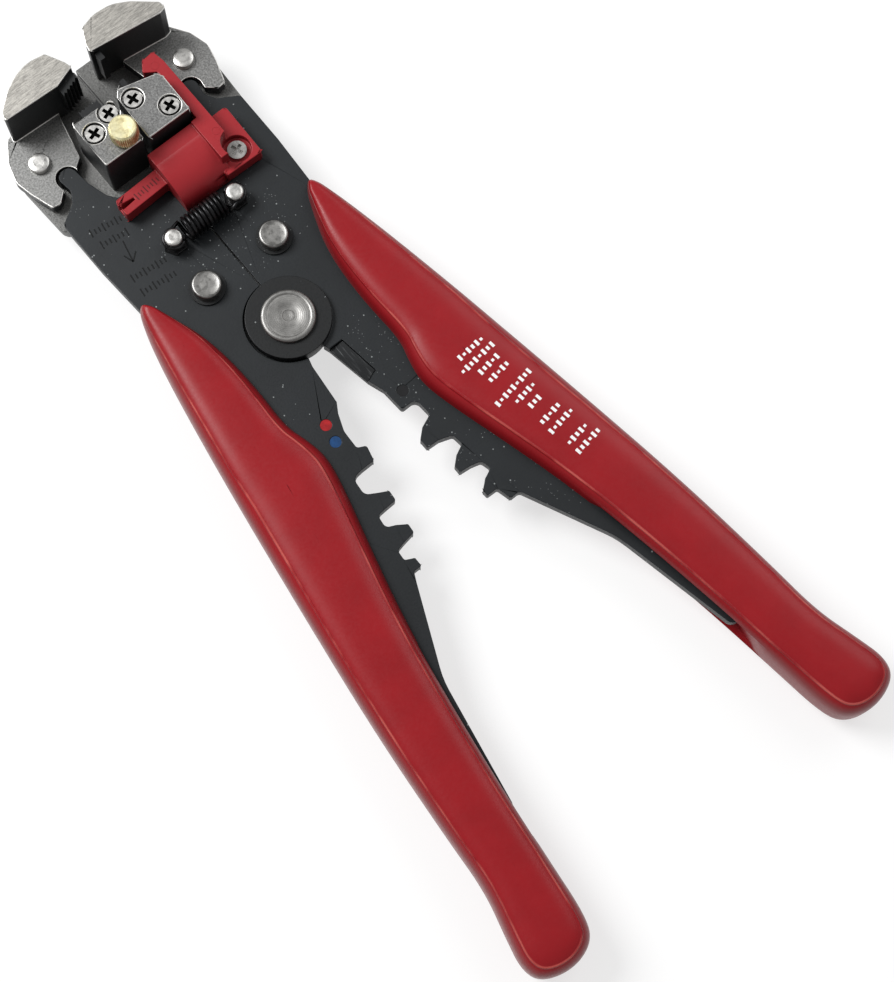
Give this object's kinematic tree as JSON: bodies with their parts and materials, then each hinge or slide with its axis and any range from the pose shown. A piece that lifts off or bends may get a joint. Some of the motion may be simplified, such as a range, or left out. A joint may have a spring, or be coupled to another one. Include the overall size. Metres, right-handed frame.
{
  "type": "wire stripper",
  "caption": "Self-adjusting wire stripper: two sprung levers with red grips, rocking jaws that close on a wire and then part to strip it, a sliding wire stop, crimp dies and a cutter.",
  "frame": {"origin": "where the main pivot's axis meets the plane the tool lies on", "axes": "+Z out of the front face, +Y from the main pivot to the jaws, +X to the right"},
  "size_m": [0.0918, 0.2063, 0.0245],
  "materials": {
    "black_oxide": "satin black oxide",
    "arm_steel": "satin",
    "jaw_steel": "blasted",
    "block_steel": "satin",
    "nickel_screw": "polished nickel",
    "blade_steel": "ground",
    "turned_steel": "turned",
    "rivet_steel": "pitted",
    "spring_black": "black oxide",
    "brass": "knurled",
    "red_plastic": "satin red",
    "red_grip": "satin red",
    "red_enamel": "gloss enamel",
    "blue_enamel": "gloss enamel",
    "black_enamel": "gloss enamel"
  },
  "bodies": {
    "left_lever": {"left_lever_plate": "black_oxide", "left_grip": "red_grip", "pivot_rivet": "turned_steel", "pivot_washer": "spring_black", "left_arm_rivet": "rivet_steel", "left_rivet_ring": "spring_black", "left_spring_pin": "rivet_steel", "red_dot": "red_enamel", "blue_dot": "blue_enamel", "return_spring": "spring_black"},
    "right_lever": {"right_lever_plate": "black_oxide", "right_grip": "red_grip", "right_arm_rivet": "rivet_steel", "right_rivet_ring": "spring_black", "right_spring_pin": "rivet_steel", "black_dot": "black_enamel"},
    "left_carrier": {"left_arm": "arm_steel", "left_jaw_pin": "rivet_steel", "left_block": "block_steel", "left_block_screws": "nickel_screw", "lower_grip_insert": "blade_steel"},
    "right_carrier": {"right_arm": "arm_steel", "right_jaw_pin": "rivet_steel", "right_block": "block_steel", "right_block_screws": "nickel_screw", "lower_blade": "blade_steel"},
    "left_rocker": {"left_jaw": "jaw_steel", "upper_grip_insert": "blade_steel"},
    "right_rocker": {"right_jaw": "jaw_steel", "upper_blade": "blade_steel"},
    "stop_slider": {"wire_stop": "red_plastic", "stop_screw": "nickel_screw", "stop_nut": "nickel_screw"},
    "knob": {"tension_knob": "brass"}
  },
  "joints": [
    {"name": "handle_squeeze", "type": "hinge", "parent": "left_lever", "child": "right_lever", "pos_m": [0, 0, 0.0074], "axis": [0, 0, -1], "range_deg": [0, 21.5], "stiffness_Nm_per_rad": 0.6, "springref_deg": -14.32, "deforming": ["return_spring"]},
    {"name": "left_carrier_turn", "type": "hinge", "parent": "left_lever", "child": "left_carrier", "pos_m": [-0.0086, 0.0155, 0.0046], "axis": [0, 0, -1], "range_deg": [0, 3.5]},
    {"name": "right_carrier_turn", "type": "hinge", "parent": "right_lever", "child": "right_carrier", "pos_m": [0.0086, 0.0155, 0.0046], "axis": [0, 0, 1], "range_deg": [0, 3.5]},
    {"name": "left_jaw_close", "type": "hinge", "parent": "left_carrier", "child": "left_rocker", "pos_m": [-0.0186, 0.0583, 0.0074], "axis": [0, 0, -1], "range_deg": [0, 20.5]},
    {"name": "right_jaw_close", "type": "hinge", "parent": "right_carrier", "child": "right_rocker", "pos_m": [0.0186, 0.0583, 0.0074], "axis": [0, 0, 1], "range_deg": [0, 20.5]},
    {"name": "stop_slide", "type": "slide", "parent": "right_lever", "child": "stop_slider", "axis": [1, 0, 0], "range_m": [0, 0.0024]},
    {"name": "knob_turn", "type": "hinge", "parent": "left_carrier", "child": "knob", "pos_m": [-0.003, 0.0478, 0.0205], "axis": [0, 0, 1], "range_deg": [-180, 180]}
  ],
  "couplings": [
    {"joint": "left_carrier_turn", "follows": "handle_squeeze", "ratio": 0.15814},
    {"joint": "right_carrier_turn", "follows": "handle_squeeze", "ratio": 0.15814},
    {"joint": "left_jaw_close", "follows": "handle_squeeze", "ratio": 0.93023},
    {"joint": "right_jaw_close", "follows": "handle_squeeze", "ratio": 0.93023}
  ]
}
